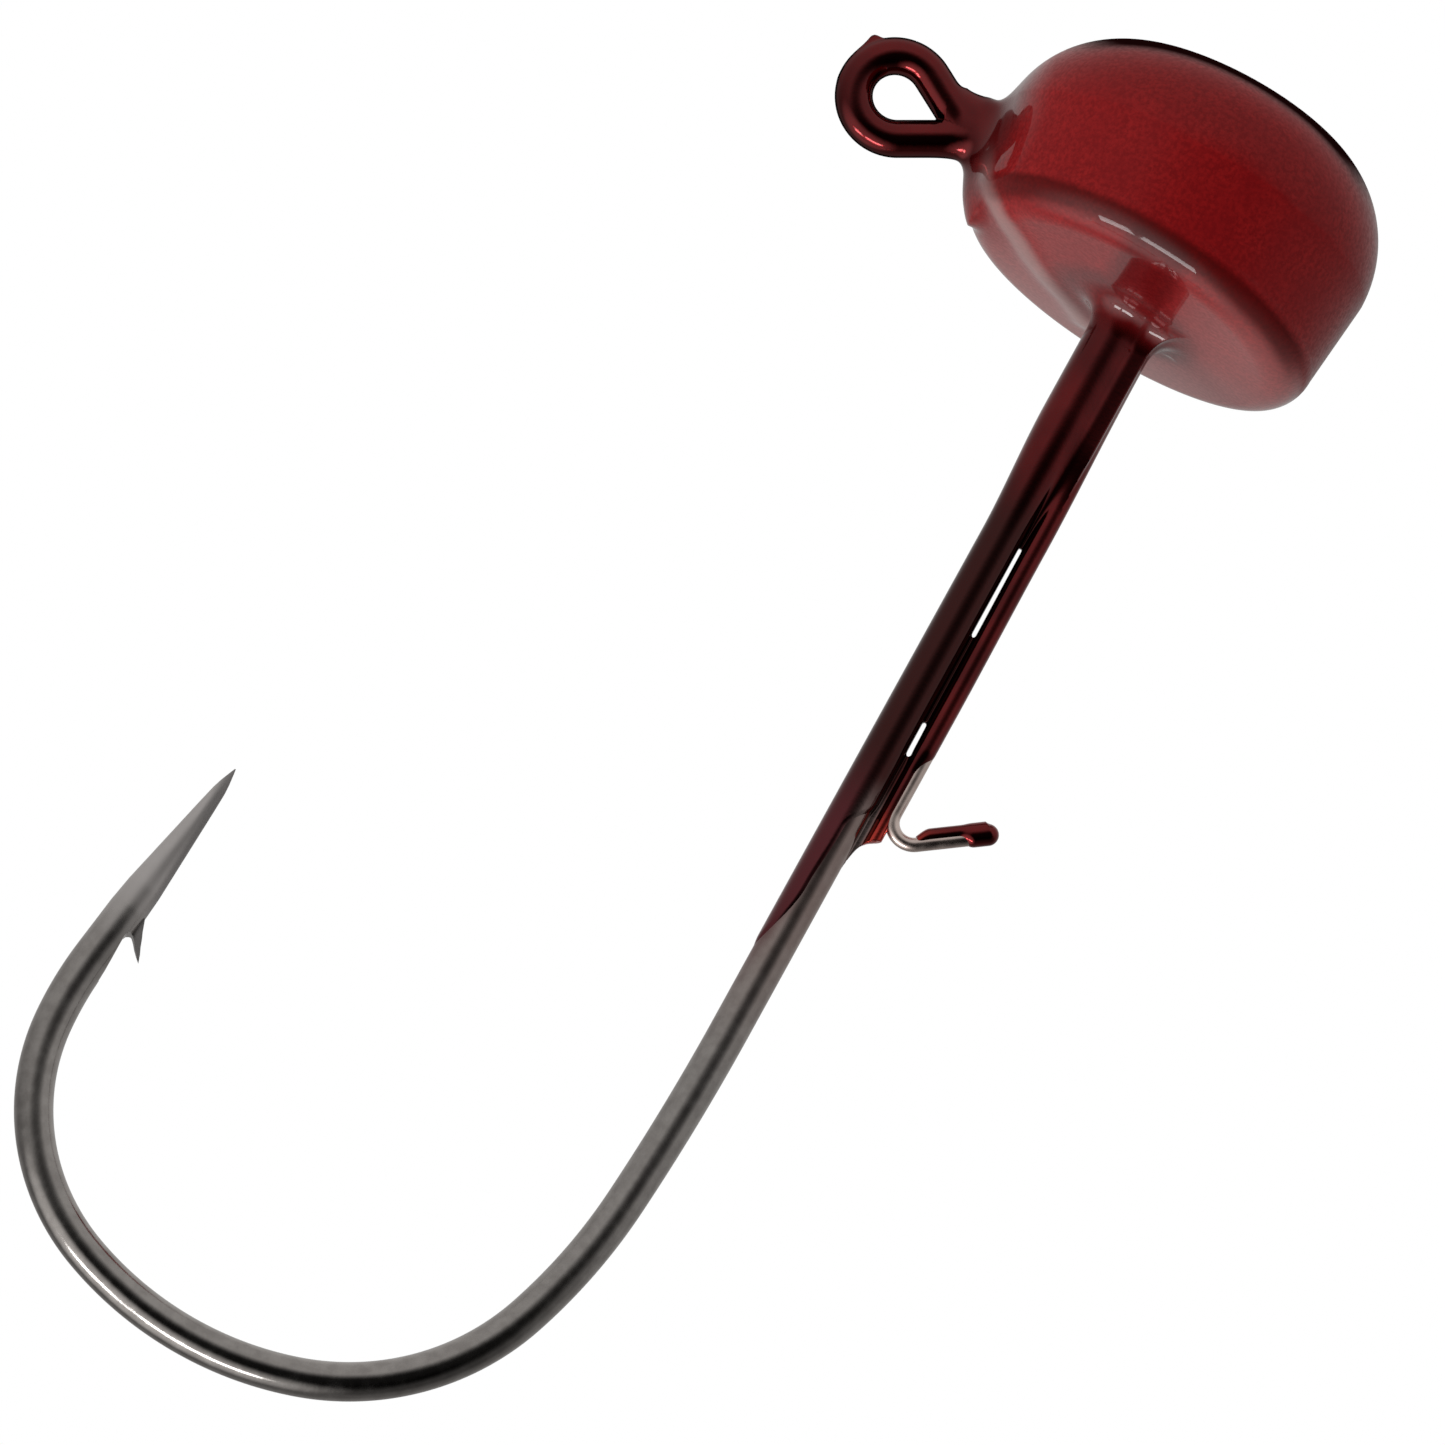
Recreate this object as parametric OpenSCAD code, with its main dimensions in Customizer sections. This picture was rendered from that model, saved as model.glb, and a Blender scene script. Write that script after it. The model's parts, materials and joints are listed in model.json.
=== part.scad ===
// Mushroom-head fishing jig: a one-piece bent hook and a fine bait-keeper wire cast into
// a lead head, then dipped in a thin red coat.
// Frame: millimetres. The origin is where the shank's axis meets the head's back face.
// +X runs along the shank towards the nose, +Z towards the line eye and the hook point.

/* [Hook wire] */
// Diameter of the bare hook wire
wire_d = 0.93; // [0.85:0.01:1.0]
// Straight shank from the head's back face to the start of the bend
shank_len = 19.8; // [17:0.1:26]
// Radius of the tightest part of the lower bend
bend_r = 6.4; // [5.8:0.1:7.0]
// Angle turned by that part of the bend
bend_angle = 52.4; // [50:0.2:55]
// Straight spear from the end of the bend to the point
spear_len = 5.65; // [5.3:0.05:6.4]
// Length of the long taper that slims the spear
point_len = 3.5; // [3.0:0.1:3.8]
// Length of the short, steeper taper at the very point
tip_len = 0.65; // [0.4:0.05:0.9]
// Radius where the short taper starts
tip_shoulder_r = 0.16; // [0.1:0.01:0.2]
// Radius left at the very tip of the point
tip_r = 0.03; // [0.02:0.01:0.06]

/* [Barb] */
// Distance from the end of the bend to the barb's front root
barb_root = 1.35; // [1.2:0.05:1.5]
// Length of the barb along the spear
barb_len = 0.88; // [0.8:0.02:1.0]
// Height of the barb's tip above the wire's surface
barb_h = 0.5; // [0.3:0.02:0.6]
// Thickness of the barb across the wire
barb_w = 0.26; // [0.2:0.02:0.4]

/* [Line eye] */
// Distance of the eye's stem ahead of the head's back face
eye_x = 2.01; // [1.9:0.01:2.4]
// Height of the eye's centre above the shank's axis
eye_z = 7.19; // [6.9:0.01:8.0]
// Diameter of the bare wire where it is drawn down for the eye
eye_wire_d = 0.82; // [0.78:0.01:0.84]
// Radius of the open hole in the coated eye
eye_hole_r = 0.55; // [0.52:0.01:0.6]
// Distance from the eye's centre to where the two legs close on the stem
eye_close = 2.02; // [1.9:0.02:2.2]

/* [Head] */
// Diameter of the coated head at mid height
head_d = 9.46; // [8.8:0.02:10.2]
// Height of the coated head from back face to nose
head_h = 6.25; // [5.8:0.05:7.0]
// Growth of the head's diameter from back to front
head_flare = 0.22; // [0:0.02:0.4]
// Rounding of the back rim
rim_r = 0.96; // [0.6:0.02:1.2]
// Rounding of the shoulder between wall and nose
shoulder_r = 3.03; // [2.4:0.02:3.2]
// Radius of the shallow nose dome
dome_r = 9.9; // [8.5:0.1:12]

/* [Bait keeper] */
// Diameter of the keeper wire
keeper_d = 0.34; // [0.3:0.01:0.4]
// Distance of the keeper wire below the shank's axis
keeper_drop = 0.95; // [0.9:0.01:1.0]
// Distance from the back face to the keeper's corner
keeper_len = 14.29; // [12:0.01:16]
// Angle between the keeper's bent leg and the shank
leg_angle = 54; // [45:1:65]
// Length of the bent leg from the corner to its tip
leg_len = 2.86; // [2.2:0.02:3.2]
// Inside rounding of the keeper's corner, on the wire's axis
leg_bend_r = 0.5; // [0.45:0.01:0.6]

/* [Coat] */
// Thickness of the coat on the head
coat_t = 0.07; // [0.05:0.01:0.1]
// Thickness of the coat on the wires
wire_coat_t = 0.05; // [0.04:0.01:0.06]
// Distance from the back face to the tail end of the coat on the shank
coat_len = 15; // [14.8:0.1:18]

/* [Hidden] */
$fn = 64;

// The bend as [radius, angle] pieces, from the shank round to the spear
bend = [[61.5, 4.6], [14.3, 14.6], [bend_r, bend_angle], [8.35, 40.2], [5.25, 64.4], [9, 11.9]];
head_bend_r = 1.3;                       // the wire's quarter turn inside the head
land_t = 0.03;                           // coat left on the inside of the eye
loop_r = eye_hole_r + land_t + eye_wire_d / 2; // axis radius of the eye's ring
leg_tilt = asin(loop_r / eye_close);     // lean of each eye leg from the stem
close_z = eye_z - eye_close;             // where both eye legs meet the stem
keeper_in = 2.4;                         // length of keeper wire held in the lead
collar_r = 0.56;                         // lead sprue that runs back along the shank
collar_len = 2.9;                        // reach of that sprue behind the back face
rib_t = 0.03;                            // lead around the keeper wire beside the collar
rib_w = 0.3;                             // web of lead that ties the keeper wire to the collar
neck_fillet_r = 0.75;                    // sweep from the collar into the back face
rib_h = keeper_drop - collar_r / 2;      // height of that web, from the keeper's axis into the collar
boss_r = [1.45, 0.72];                   // lead swelling under the eye: its radius at the foot and the top
boss_z = [4.35, 5.3];                    // heights of the swelling's foot and top
boss_dx = 0.18;                          // the swelling sits a little nearer the nose than the stem
cut_back = 0.5;                          // how far the chisel cut of the barb runs back onto the bend
cut_depth = 0.16;                        // depth of that cut where it stops under the barb
barb_foot = 0.45;                        // from the barb's front root back to where the cut stops
webs = [[-13.1, -11.8], [-11.0, -8.7], [-6.1, -2.8]]; // films of coat from shank to keeper, along X
web_t = keeper_d * 2 / 3;                // thickness of those films
web_h = keeper_drop - wire_d / 4;        // their height, from the keeper's axis into the shank
corner = [-keeper_len, -keeper_drop];    // where the axes of the keeper wire and its leg cross
leg_dir = [cos(leg_angle), -sin(leg_angle)];
leg_tip = corner + leg_len * leg_dir;
bead_d = keeper_d + 0.14;                // bead of coat on the tip of the keeper's leg
bead_len = 0.9;                          // length of that bead along the leg
knuckle = 0.004;                         // extra width of the ball that joins two bent pieces
past = 1;                                // how far a cutting shape reaches past what it cuts

// ---- helpers -----------------------------------------------------------------------

// Point on the wire's axis after n pieces of the bend, and its heading from -X towards +Z
function heading(n) = n == 0 ? 0 : heading(n - 1) + bend[n - 1][1];
function turn(h, r) = r * [sin(h), cos(h)];
function bend_point(n) = n == 0 ? [-shank_len, 0]
    : bend_point(n - 1) + turn(heading(n - 1), bend[n - 1][0]) - turn(heading(n), bend[n - 1][0]);

// Points of an arc, angles in degrees
function arc(c, r, a0, a1, n) = [for (i = [0:n]) c + r * [cos(a0 + (a1 - a0) * i / n),
                                                         sin(a0 + (a1 - a0) * i / n)]];

// Round bar along +X from x0 to x1
module bar_x(d, x0, x1) {
    translate([x0, 0, 0]) rotate([0, 90, 0]) cylinder(d = d, h = x1 - x0);
}

// Piece of round wire bent in the XZ plane about c, between two angles from +X towards +Z
module wire_arc(c, r, d, a0, a1) {
    translate([c.x, 0, c.y]) rotate([90, 0, 0]) rotate([0, 0, a0])
        rotate_extrude(angle = a1 - a0) translate([r, 0]) circle(d = d);
}

// Ball that joins two pieces of wire end to end, a hair wider than the wire
module wire_joint(p, d) {
    translate([p.x, 0, p.y]) sphere(d = d + knuckle);
}

// Straight round wire between two points of the XZ plane
module wire_between(p, q, d) {
    v = q - p;
    translate([p.x, 0, p.y]) rotate([0, atan2(v.x, v.y), 0]) cylinder(d = d, h = norm(v));
}

// ---- hook --------------------------------------------------------------------------

// The whole bend, from the shank round to the start of the spear
module hook_bend() {
    for (i = [0:len(bend) - 1]) {
        c = bend_point(i) + turn(heading(i), bend[i][0]);
        wire_arc(c, bend[i][0], wire_d, -90 - heading(i + 1), -90 - heading(i));
    }
    for (i = [0:len(bend)]) wire_joint(bend_point(i), wire_d);
}

// Places its children at the end of the bend: local +Z along the spear, local +X inwards
module on_spear() {
    p = bend_point(len(bend));
    translate([p.x, 0, p.y]) rotate([0, heading(len(bend)) - 90, 0]) children();
}

// A flat shape in the hook's plane on the spear: its points are [distance inwards, distance along]
module spear_plate(points, thickness) {
    on_spear() rotate([90, 0, 0]) linear_extrude(thickness, center = true) polygon(points);
}

// The sliver of wire lifted inwards and back from the spear
module barb() {
    surface_r = wire_d / 2;
    foot = [surface_r - cut_depth, barb_root - barb_foot];
    tip = [surface_r + barb_h, barb_root - barb_len];
    spear_plate([foot + [-cut_depth, 0], [foot.x - cut_depth, barb_root], [surface_r, barb_root], tip,
                 foot + [cut_depth, 0]], barb_w);
}

// The chisel cut that lifts the barb: it slopes in from the bend and stops below the barb
module barb_cut() {
    surface_r = wire_d / 2;
    end = barb_root - barb_foot;
    spear_plate([[surface_r, -cut_back], [surface_r - cut_depth, end], [wire_d, end], [wire_d, -cut_back]],
                wire_d);
}

// The straight end of the wire, with its long taper and short sharp tip
module spear() {
    straight = spear_len - point_len - tip_len;
    on_spear() {
        cylinder(d = wire_d, h = straight);
        translate([0, 0, straight]) cylinder(r1 = wire_d / 2, r2 = tip_shoulder_r, h = point_len);
        translate([0, 0, straight + point_len]) cylinder(r1 = tip_shoulder_r, r2 = tip_r, h = tip_len);
    }
}

// The eye: a ring open towards the stem, and two legs that close on the stem.
// skin is the thickness added all round, for the coat.
module eye_loop(skin) {
    d = eye_wire_d + 2 * skin;
    open = 90 - leg_tilt;
    foot = [eye_x, close_z];
    wire_arc([eye_x, eye_z], loop_r, d, -90 + open, 270 - open);
    for (side = [-1, 1])
        wire_between(foot, [eye_x, eye_z] + loop_r * [side * sin(open), -cos(open)], d);
    translate([eye_x, 0, close_z]) sphere(d = d);
}

// The quarter turn inside the head and the stem that rises out of it
module eye_stem(skin) {
    d = wire_d + 2 * skin;
    wire_arc([eye_x - head_bend_r, head_bend_r], head_bend_r, d, -90, 0);
    translate([eye_x, 0, head_bend_r]) cylinder(d = d, h = close_z - head_bend_r);
}

// The whole hook, bare
module hook() {
    color("dimgray") {
        bar_x(wire_d, -shank_len, eye_x - head_bend_r);
        difference() {
            union() {
                hook_bend();
                spear();
            }
            barb_cut();
        }
        barb();
        eye_stem(0);
        eye_loop(0);
    }
}

// ---- bait keeper -------------------------------------------------------------------

// Keeper wire from x1 back to the corner and out along the bent leg
module keeper(d, x1) {
    a = 180 - leg_angle;
    back = leg_bend_r * tan(a / 2);
    start = corner + [back, 0];
    end = corner + back * leg_dir;
    translate([0, 0, -keeper_drop]) bar_x(d, start.x, x1);
    wire_arc(start - [0, leg_bend_r], leg_bend_r, d, 90, 90 + a);
    wire_between(end, leg_tip, d);
    for (p = [start, end]) wire_joint(p, d);
}

// The keeper wire, with its front end held in the lead
module keeper_wire() {
    color("silver") keeper(keeper_d, keeper_in);
}

// ---- head --------------------------------------------------------------------------

// Half outline of the head as [radius, height], grown by skin on every side
function head_outline(skin) = let (
        front_r = head_d / 2 + head_flare / 2 - coat_t,
        back_r = head_d / 2 - head_flare / 2 - coat_t,
        nose = head_h - coat_t,
        dome_c = nose - dome_r,
        in_r = front_r - shoulder_r,
        shoulder_c = dome_c + sqrt(pow(dome_r - shoulder_r, 2) - pow(in_r, 2)),
        meet = atan2(shoulder_c - dome_c, in_r))
    concat([[0, coat_t - skin]],
        arc([back_r - rim_r, coat_t + rim_r], rim_r + skin, -90, 0, 6),
        arc([in_r, shoulder_c], shoulder_r + skin, 0, meet, 8),
        arc([0, dome_c], dome_r + skin, meet, 90, 8));

// Sweep that carries a round collar of radius r smoothly into the back face
module neck_fillet(r, skin) {
    f = neck_fillet_r - skin;
    face = coat_t - skin;
    sunk = face + rim_r / 2;
    rotate([0, 90, 0]) rotate_extrude() polygon(concat(
        [[0, sunk], [0, face - f], [r, face - f]],
        arc([r + f, face - f], f, 180, 90, 6),
        [[r + f, sunk]]));
}

// The cast head with its collar and eye boss, grown by skin on every side
module head_form(skin) {
    rotate([0, 90, 0]) rotate_extrude() polygon(head_outline(skin));
    bar_x(2 * (collar_r + skin), -collar_len - skin, rim_r);
    neck_fillet(collar_r + skin, skin);
    translate([eye_x + boss_dx, 0, boss_z[0]])
        cylinder(r1 = boss_r[0] + skin, r2 = boss_r[1] + skin, h = boss_z[1] - boss_z[0] + skin);
    translate([0, 0, -keeper_drop]) bar_x(keeper_d + 2 * (rib_t + skin), -collar_len - skin, rim_r);
    translate([-collar_len - skin, -rib_w / 2 - skin, -keeper_drop])
        cube([collar_len + skin + rim_r, rib_w + 2 * skin, rib_h]);
}

// The casting, with the wires' own space taken out
module lead_head() {
    color("slategray") difference() {
        head_form(0);
        bar_x(wire_d, -collar_len - past, eye_x - head_bend_r);
        eye_stem(0);
        translate([0, 0, -keeper_drop]) bar_x(keeper_d, -collar_len - past, keeper_in);
    }
}

// ---- coat --------------------------------------------------------------------------

// A skin over the head, the eye, the shank and the keeper wire, hollowed by all that it covers
module red_coat() {
    wire_skin = wire_d + 2 * wire_coat_t;
    keeper_skin = keeper_d + 2 * wire_coat_t;
    color("firebrick") difference() {
        union() {
            head_form(coat_t);
            bar_x(wire_skin, -coat_len, 0);
            translate([0, 0, -keeper_drop]) bar_x(keeper_skin, webs[0][1], 0);
            for (w = webs)
                translate([w[0], -web_t / 2, -keeper_drop]) cube([w[1] - w[0], web_t, web_h]);
            wire_between(leg_tip - bead_len * leg_dir, leg_tip, bead_d);
            wire_joint(leg_tip, bead_d);
            eye_stem(wire_coat_t);
            eye_loop(wire_coat_t);
        }
        head_form(0);
        bar_x(wire_d, -coat_len - past, eye_x - head_bend_r);
        eye_stem(0);
        eye_loop(0);
        keeper(keeper_d, keeper_in);
        translate([eye_x, 0, eye_z]) rotate([90, 0, 0])
            cylinder(r = eye_hole_r, h = wire_d + 2 * past, center = true);
    }
}

hook();
lead_head();
keeper_wire();
red_coat();
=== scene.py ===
"""Looks for the jig head: a black-nickel hook and a keeper wire in a lead head, under a glossy red coat.

Lengths are in millimetres, also in the materials, and become metres where a mesh or a bump is made. Only the
camera and the lamps are placed in metres. The axes are the CAD frame's: +X runs along the shank towards the
nose, +Z towards the line eye and the hook point, and the camera looks from the -Y side.
"""

import json
import math
from types import SimpleNamespace

import bmesh
import bpy
import numpy as np
from mathutils import Matrix, Vector


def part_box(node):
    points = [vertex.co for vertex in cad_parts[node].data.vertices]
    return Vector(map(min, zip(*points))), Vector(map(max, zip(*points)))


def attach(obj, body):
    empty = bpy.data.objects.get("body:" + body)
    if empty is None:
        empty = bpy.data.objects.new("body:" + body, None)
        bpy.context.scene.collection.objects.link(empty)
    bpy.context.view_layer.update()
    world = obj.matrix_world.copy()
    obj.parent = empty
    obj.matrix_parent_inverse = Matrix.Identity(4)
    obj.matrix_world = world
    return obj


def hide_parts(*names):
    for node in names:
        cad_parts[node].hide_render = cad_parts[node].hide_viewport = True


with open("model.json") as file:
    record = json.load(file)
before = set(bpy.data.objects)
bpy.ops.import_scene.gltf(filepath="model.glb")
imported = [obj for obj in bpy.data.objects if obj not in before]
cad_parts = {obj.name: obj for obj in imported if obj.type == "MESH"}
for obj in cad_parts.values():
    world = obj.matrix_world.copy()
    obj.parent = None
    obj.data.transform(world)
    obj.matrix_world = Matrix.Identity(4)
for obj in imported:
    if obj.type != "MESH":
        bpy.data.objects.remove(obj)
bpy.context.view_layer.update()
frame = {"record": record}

MM = 0.001


def box_mm(node):
    """Lowest and highest corner of a CAD node, in millimetres."""
    low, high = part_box(node)
    return np.array(low) / MM, np.array(high) / MM


def mount_mm(name):
    """Position of one of the record's mounts, in millimetres."""
    mounts = {m["name"]: m for m in frame["record"]["mounts"]}
    return np.array(mounts[name]["pos_m"]) / MM


# ---- sizes -------------------------------------------------------------------------------

HOOK_LOW = box_mm("hook")[0]
KEEPER_LOW, KEEPER_HIGH = box_mm("keeper_wire")
COAT_HIGH = box_mm("red_coat")[1]
EYE = mount_mm("line_eye")[[0, 2]]  # centre of the line eye, X and Z

WIRE_R = 0.465
# radius and angle of each arc, from the shank round to the spear
BEND = ((61.5, 4.6), (14.3, 14.6), (6.4, 52.4), (8.35, 40.2), (5.25, 64.4), (9.0, 11.9))
SPEAR_LEN = 5.65
# wire radius along the last part of the spear, as lengths left to the point and radii there
SPEAR_LEFT = (0.0, 0.12, 0.40, 0.65, 1.15, 2.15, 3.15, 3.65, 4.30)
SPEAR_R = (0.012, 0.045, 0.115, 0.16, 0.21, 0.30, 0.39, 0.435, WIRE_R)
SPEAR_SQUASH = 0.10                 # the spear is narrower across Y by this part

HEAD_H = COAT_HIGH[0]
NOSE_X = HEAD_H - 0.04              # the dome's top
HEAD_R = 4.70                       # at mid height
HEAD_GROWN = 0.02                   # the whole outline is moved out by this
HEAD_FLARE = 0.11                   # wider at the shoulder, narrower at the back rim
RIM_R = 0.96
SHOULDER_R = 2.90
DOME_R = 11.0
BACK_LEAN = 0.047                   # the back face leans a little across the shank
NEAR_LEAN = 0.10                    # and its -Y half leans forward
NECK_BLEND = 0.8                    # how softly the shank's coat runs into the back face
COAT_T = 0.07                       # thickness of the coat on the head

SHANK_COAT_R = 0.495
NECK_SWELL = 0.125                  # how much thicker the shank's coat is at the head
COAT_END = -18.6                    # X of the last of the coat, on the shank
# the lower edge of the coat's tail climbs the shank: [from, to] along -X, and the height gained
TAIL_LOW = -0.6
TAIL_CLIMB = ((13.2, 14.3, 0.55), (14.3, 16.0, 0.10), (16.0, -COAT_END, 0.55))
TAIL_STEP = 0.06                    # the radius lost past the tail's edge

KEEPER_R = (KEEPER_HIGH[1] - KEEPER_LOW[1]) / 2
KEEPER_Z = KEEPER_HIGH[2] - KEEPER_R
KEEPER_IN = KEEPER_HIGH[0]
CORNER = np.array([-14.29, KEEPER_Z])
LEG_ANGLE = math.radians(54)
LEG = np.array([math.cos(LEG_ANGLE), -math.sin(LEG_ANGLE)])
LEG_LEN = 2.86
LEG_BEND_R = 0.5
LEG_COAT_FROM = 1.0                 # bare wire up to here, measured along the leg
BEAD_R = 0.262                      # the bead of coat on the leg's tip
WEB_Z = -0.58                       # middle of the film between shank and keeper
SLITS = ((-11.95, -11.0), (-8.65, -6.15))   # where that film is open, [from, to] along X

EYE_LOOP_R = 1.005                  # axis of the eye's ring
EYE_CLOSE = 2.02                    # from the eye's centre to the meeting of its two legs
EYE_WIRE_R = 0.41
EYE_COAT_R = 0.45
EYE_BLEND = 0.4                     # how softly the eye's coat runs into the stem
FOOT_BLEND = 0.6                    # and the stem into the head
BOSS_X = EYE[0] + 0.18              # the swelling at the foot of the eye
HEAD_TURN_R = 1.3                   # the wire's quarter turn inside the head

# a low soft ridge in the coat, from beside the neck across the back face and over the rim to the eye's foot
RUN = ((0.05, 2.3, 0.75), (0.10, 1.43, 1.32), (0.12, 0.75, 2.0), (0.16, 0.0, 2.6), (0.20, -0.8, 3.1),
       (0.30, -1.35, 3.55), (0.50, -1.55, 3.95), (1.08, -1.25, 4.33), (1.75, -0.7, 4.45))
RUN_HEIGHT = 0.08
RUN_WIDTH = 0.32

# mesh steps
COAT_STEP = 0.036
LEAD_STEP = 0.16
HOOK_SIDES = 56
KEEPER_SIDES = 32


# ---- small mesh and field helpers --------------------------------------------------------

def make_object(name, verts_mm, faces, normals=None):
    """A smooth-shaded mesh object from points in millimetres and lists of their indices."""
    mesh = bpy.data.meshes.new(name)
    mesh.from_pydata((np.asarray(verts_mm, float) * MM).tolist(), [], faces)
    mesh.shade_smooth()
    obj = bpy.data.objects.new(name, mesh)
    bpy.context.scene.collection.objects.link(obj)
    if normals is not None:
        mesh.normals_split_custom_set_from_vertices(np.asarray(normals, float).tolist())
    return obj


FAR = 9.0                           # stands for any distance that is too large to matter


def smooth_min(a, b, k):
    """The smaller of two distances, blended over a width k."""
    h = np.clip(0.5 + 0.5 * (b - a) / k, 0.0, 1.0)
    return b + (a - b) * h - k * h * (1.0 - h)


def ramp(x, x0, x1):
    """0 before x0, 1 after x1, and a smooth step between them."""
    t = np.clip((x - x0) / (x1 - x0), 0.0, 1.0)
    return t * t * (3.0 - 2.0 * t)


def segment_distance(x, z, p, q):
    """Distance in the XZ plane to the segment p-q."""
    dx, dz = q[0] - p[0], q[1] - p[1]
    t = np.clip(((x - p[0]) * dx + (z - p[1]) * dz) / (dx * dx + dz * dz), 0.0, 1.0)
    return np.hypot(x - p[0] - t * dx, z - p[1] - t * dz)


# ---- the coat's outer surface as a distance field ----------------------------------------

def head_profile_distance(x, r):
    """Distance to the head's turned outline: flat back, rounded rim, flared wall, shoulder and dome."""
    back_r, front_r = HEAD_R - HEAD_FLARE, HEAD_R + HEAD_FLARE
    dome_x = NOSE_X - DOME_R
    in_r = front_r - SHOULDER_R
    shoulder_x = dome_x + math.sqrt((DOME_R - SHOULDER_R) ** 2 - in_r ** 2)
    rim_r = back_r - RIM_R
    flare = (front_r - back_r) / (shoulder_x - RIM_R)
    wall = r - back_r - flare * (x - RIM_R)
    dome = np.hypot(x - dome_x, r) - DOME_R
    flat = np.maximum(np.maximum(-x, wall), dome)
    rim = np.hypot(x - RIM_R, r - rim_r) - RIM_R
    shoulder = np.hypot(x - shoulder_x, r - in_r) - SHOULDER_R
    at_rim = (x < RIM_R) & (r > rim_r)
    slope = (shoulder_x - dome_x) / in_r
    at_shoulder = (x > shoulder_x) & (x - shoulder_x < (r - in_r) * slope)
    return np.where(at_rim, rim, np.where(at_shoulder, shoulder, flat))


def head_distance(x, y, z):
    """The turned head with its back face leaning; the lean fades out towards the nose."""
    near = 0.5 * (np.sqrt(y * y + 0.8) - y) + 0.1      # a soft form of max(-y, 0)
    lean = (BACK_LEAN * z + NEAR_LEAN * near) * np.clip(1.0 - x / HEAD_H, 0.0, 1.2)
    return head_profile_distance(x - lean, np.sqrt(y * y + z * z) - HEAD_GROWN)


def shank_radius(x, z):
    """The coat swells towards the head. Its tail runs out on the side of the wire that faces the point."""
    swell = NECK_SWELL * ramp(x, -6.2, -2.8)
    tail_z = TAIL_LOW
    for x0, x1, climb in TAIL_CLIMB:
        tail_z = tail_z + climb * ramp(-x, x0, x1)
    return SHANK_COAT_R + swell - TAIL_STEP * ramp(tail_z - z, -0.12, 0.12)


def run_ridge(x, y, z):
    """How strong the ridge is at a point: 1 on its middle line, falling away on both sides."""
    best = np.float64(FAR)
    for p, q in zip(RUN[:-1], RUN[1:]):
        d = [b - a for a, b in zip(p, q)]
        size = sum(c * c for c in d)
        t = np.clip(((x - p[0]) * d[0] + (y - p[1]) * d[1] + (z - p[2]) * d[2]) / size, 0.0, 1.0)
        square = (x - p[0] - t * d[0]) ** 2 + (y - p[1] - t * d[1]) ** 2 + (z - p[2] - t * d[2]) ** 2
        best = np.minimum(best, square)
    return np.exp(-0.5 * best / RUN_WIDTH ** 2)


def keeper_rise(x):
    """The keeper wire closes in on the shank a little towards the head."""
    return 0.03 * ramp(x, -10.5, -6.0) + 0.085 * ramp(x, -6.0, -1.0)


def tail_end(z):
    """X where the coat on the keeper and the film ends: a slanting edge, drawn out next to the shank."""
    return -14.28 - 0.53 * (z + 0.6) - 0.75 * np.exp(-np.maximum(-z - 0.46, 0.0) / 0.08)


def keeper_distance(x, y, z):
    """The coat round the keeper wire, thicker on the side that faces the shank."""
    bare = ramp(-x, 11.6, 12.3)
    lift = 0.08 + 0.05 * bare + keeper_rise(x)
    radius = 0.26 - 0.085 * bare
    tube = np.hypot(y, z - (KEEPER_Z + lift)) - radius
    return np.maximum(tube, tail_end(z) - x)


def web_distance(x, y, z):
    """The film of coat that fills the groove between the shank and the keeper wire."""
    grown = ramp(x, -6.3, -3.2)
    half_y = 0.05 + 0.3 * grown
    half_z = 0.27 + 0.1 * grown
    film = np.maximum(np.abs(y) - half_y, np.abs(z - WEB_Z) - half_z)
    film = np.maximum(film, tail_end(z) - x)
    film = np.maximum(film, x - 0.5)
    for x0, x1 in SLITS:
        hole = segment_distance(x, z, (x0 + 0.1, -0.55), (x1 - 0.1, -0.52)) - 0.1
        film = np.maximum(film, -hole)
    return film


def leg_distance(x, y, z):
    """The coat on the keeper's leg: a run along its upper side and a bead round its tip."""
    along = (x - CORNER[0]) * LEG[0] + (z - CORNER[1]) * LEG[1]
    across = (z - CORNER[1]) * LEG[0] - (x - CORNER[0]) * LEG[1]
    grown = ramp(along, 0.8, 1.35)
    upper = np.hypot(across - 0.165 * grown, y) - (0.14 + 0.05 * grown)
    upper = np.maximum(upper, np.maximum(LEG_COAT_FROM - along, along - LEG_LEN + 0.2))
    bead_along = along - np.clip(along, LEG_LEN - 0.50, LEG_LEN - 0.16)
    bead = np.sqrt(bead_along ** 2 + (across - 0.05) ** 2 + y * y) - BEAD_R
    return smooth_min(upper, bead, 0.15)


def eye_distance(x, y, z):
    """The coated eye: a ring open at the bottom whose two legs close on the stem."""
    cx, cz = EYE
    tilt = math.asin(EYE_LOOP_R / EYE_CLOSE)
    dx, dz = x - cx, z - cz
    ring = np.abs(np.hypot(dx, dz) - EYE_LOOP_R)
    on_ring = dz > -np.abs(dx) * math.tan(tilt)
    touch = (EYE_LOOP_R * math.cos(tilt), -EYE_LOOP_R * math.sin(tilt))
    legs = segment_distance(np.abs(dx), dz, touch, (0.0, -EYE_CLOSE))
    path = np.where(on_ring, ring, legs)
    loop = np.hypot(path, y) - EYE_COAT_R
    # a small flake of coat pulled up at the top of the ring, on the nose side
    nib = np.maximum(segment_distance(dx, dz, (-0.2, 1.22), (0.93, 1.08)) - 0.15, np.abs(y) - 0.16)
    return smooth_min(loop, nib, 0.12)


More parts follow.
